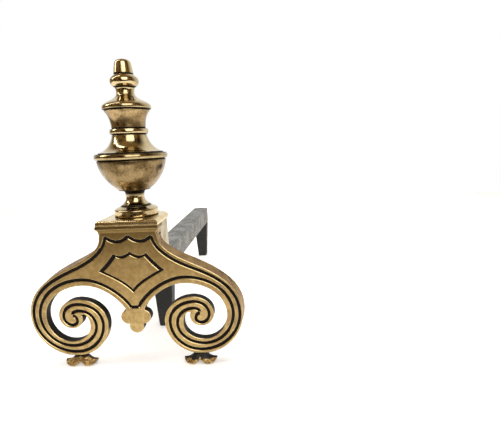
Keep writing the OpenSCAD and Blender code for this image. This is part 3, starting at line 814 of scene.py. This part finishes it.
def forgeLeg(forge, node, name, seed):
    low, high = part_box(node)
    top = barLow.z
    middle = (low + high) / 2
    shoulder = Vector((high.x, high.y, top))
    shape = forgeBlock(low, shoulder)
    for vert in shape.verts:
        if vert.co.z < low.z + tiny:
            vert.co.x = middle.x + (vert.co.x - middle.x) * forge["footShare"]
    roundEdges(shape, shape.edges[:], forge["corner"])
    cutAcross(shape, low, shoulder, forge["cell"])
    hammered(shape, forge, seed)
    for vert in shape.verts:
        vert.co.z = min(vert.co.z, top)
    radius, root = forge["tenonRadius"], top - forge["tenonRoot"]
    centre = Vector((middle.x, middle.y, (barHigh.z + root) / 2))
    tenon = bmesh.ops.create_cone(shape, cap_ends=True, cap_tris=False, segments=32, radius1=radius,
                                  radius2=radius, depth=barHigh.z - root,
                                  matrix=Matrix.Translation(centre))["verts"]
    head = [line for line in shape.edges
            if all(vert in tenon and vert.co.z > barHigh.z - tiny for vert in line.verts)]
    roundEdges(shape, head, forge["tenonCorner"])
    finishPiece(name, shape, [legIron], [node], forge["sharp"])


forgeBar(forgeSet)
for node, name, seed in forgeSet["legs"]:
    forgeLeg(forgeSet, node, name, seed)
for node in ("plate_screws", "tie_rod", "rod_washer", "rod_nut"):
    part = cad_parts[node]
    part.data.materials.clear()
    part.data.materials.append(steel)
print("iron forged")

# matt white floor: the camera, and metal, see it as the white sweep of the photo, with its shadows
floorSet = {
    "front": -0.75, "rear": 1.1, "side": 1.6,    # its reach in metres
    "drop": 0.1 * mm,                            # under the part
    "blotches": {"grain": (300, 0.2, 0.8, 4)},
    "base": "#f6f5f3",
    "layers": [("grain", 0.1, "#ecebe8")],
    "shader": {"Roughness": 0.9, "Specular IOR Level": 0.1, "Emission Color": rgb("#ffffff"),
               "Emission Strength": ("seen", 0, 0.36)},
    "bumps": [],
}


def floorMasks(tree, place, masks, finish):
    path = addNode(tree, "ShaderNodeLightPath").outputs
    seen = addNode(tree, "ShaderNodeMath", {0: path["Is Camera Ray"], 1: path["Is Glossy Ray"]},
                   operation="MAXIMUM").outputs[0]
    masks["seen"] = addNode(tree, "ShaderNodeMath", {0: seen, 1: path["Is Transmission Ray"]},
                            operation="MAXIMUM").outputs[0]


def addFloor(floor):
    mesh = bpy.data.meshes.new("floor")
    shape = bmesh.new()
    centre = (0, (floor["rear"] + floor["front"]) / 2, 0)
    reach = (floor["side"], (floor["rear"] - floor["front"]) / 2, 1, 1)
    bmesh.ops.create_grid(shape, x_segments=1, y_segments=1, size=1,
                          matrix=Matrix.Translation(centre) @ Matrix.Diagonal(reach))
    shape.to_mesh(mesh)
    shape.free()
    ground = bpy.data.objects.new("floor", mesh)
    bpy.context.collection.objects.link(ground)
    ground.location.z = cadBounds[0].z - floor["drop"]
    mesh.materials.append(makeFinish("pale_floor", floor, floorMasks))


lampSet = {
    # place, aim, width and height in metres, watts, mirrored in metal
    "window": ((0.6, -1.65, 1.1), (0, -0.2, 0.25), 1.35, 1.8, 19, True),
    "left_window": ((-1.8, -0.2, 1.2), (0, -0.2, 0.25), 0.4, 0.6, 5, True),
    "skylight": ((-1.3, -0.35, 1.9), (0, -0.2, 0.2), 0.2, 1.7, 8, True),
    "overhead": ((0.1, 0.3, 2.0), (0, 0.0, 0), 2.2, 2.2, 44, False),
}


def addLamps(lamps):
    for name, (place, aim, width, height, watts, mirrored) in lamps.items():
        data = bpy.data.lights.new(name, "AREA")
        data.shape = "RECTANGLE"
        data.size = width
        data.size_y = height
        data.energy = watts
        lamp = bpy.data.objects.new(name, data)
        bpy.context.collection.objects.link(lamp)
        lamp.location = place
        lamp.visible_glossy = mirrored
        lamp.rotation_euler = (Vector(aim) - Vector(place)).to_track_quat("-Z", "Y").to_euler()


# brown room with darker and lighter furniture for the brass to mirror, and a white backdrop
roomSet = {
    "base": "#1d1308",
    "layers": [("furniture", 1, "#8e7248"), ("ceiling", 1, "#8a7044"), ("backdrop", 1, "#ffffff")],
    "furniture": (0.45, 0.4, 0.6, 2),      # size, low, high and detail
    "ceilingEdge": (0.84, 0.93),           # how steeply up it starts and is full
    "backEdge": (0.1, 0.8),                # how far behind the backdrop starts and is full
    "backTurn": 0.15,                      # it reaches further round on the right
}


def addRoom(room):
    world = bpy.data.worlds.new("studio")
    bpy.context.scene.world = world
    world.use_nodes = True
    tree = world.node_tree
    tree.nodes.clear()
    way = addNode(tree, "ShaderNodeTexCoord").outputs["Generated"]
    axes = addNode(tree, "ShaderNodeSeparateXYZ", {0: way}).outputs
    depth = addNode(tree, "ShaderNodeMath", {0: axes["X"], 1: room["backTurn"], 2: axes["Y"]},
                    operation="MULTIPLY_ADD").outputs[0]
    back, ceiling = [addNode(tree, "ShaderNodeMapRange",
                             {"Value": value, "From Min": start, "From Max": full},
                             interpolation_type="SMOOTHSTEP").outputs[0]
                     for value, (start, full) in ((depth, room["backEdge"]),
                                                  (axes["Z"], room["ceilingEdge"]))]
    # the backdrop is white for the camera, and behind the object also for metal and glass
    path = addNode(tree, "ShaderNodeLightPath").outputs
    mirrored = addNode(tree, "ShaderNodeMath",
                       {0: path["Is Glossy Ray"], 1: path["Is Transmission Ray"]},
                       operation="MAXIMUM").outputs[0]
    mirrored = addNode(tree, "ShaderNodeMath", {0: mirrored, 1: back}, operation="MULTIPLY").outputs[0]
    backdrop = addNode(tree, "ShaderNodeMath", {0: path["Is Camera Ray"], 1: mirrored},
                       operation="MAXIMUM").outputs[0]
    masks = {"furniture": blotches(tree, way, *room["furniture"]), "ceiling": ceiling,
             "backdrop": backdrop}
    light = addNode(tree, "ShaderNodeBackground",
                    {"Color": layColours(tree, masks, room["base"], room["layers"])})
    addNode(tree, "ShaderNodeOutputWorld", {"Surface": light.outputs[0]})


addFloor(floorSet)
addLamps(lampSet)
addRoom(roomSet)
bpy.context.scene.view_settings.view_transform = "Standard"
print("studio lit")
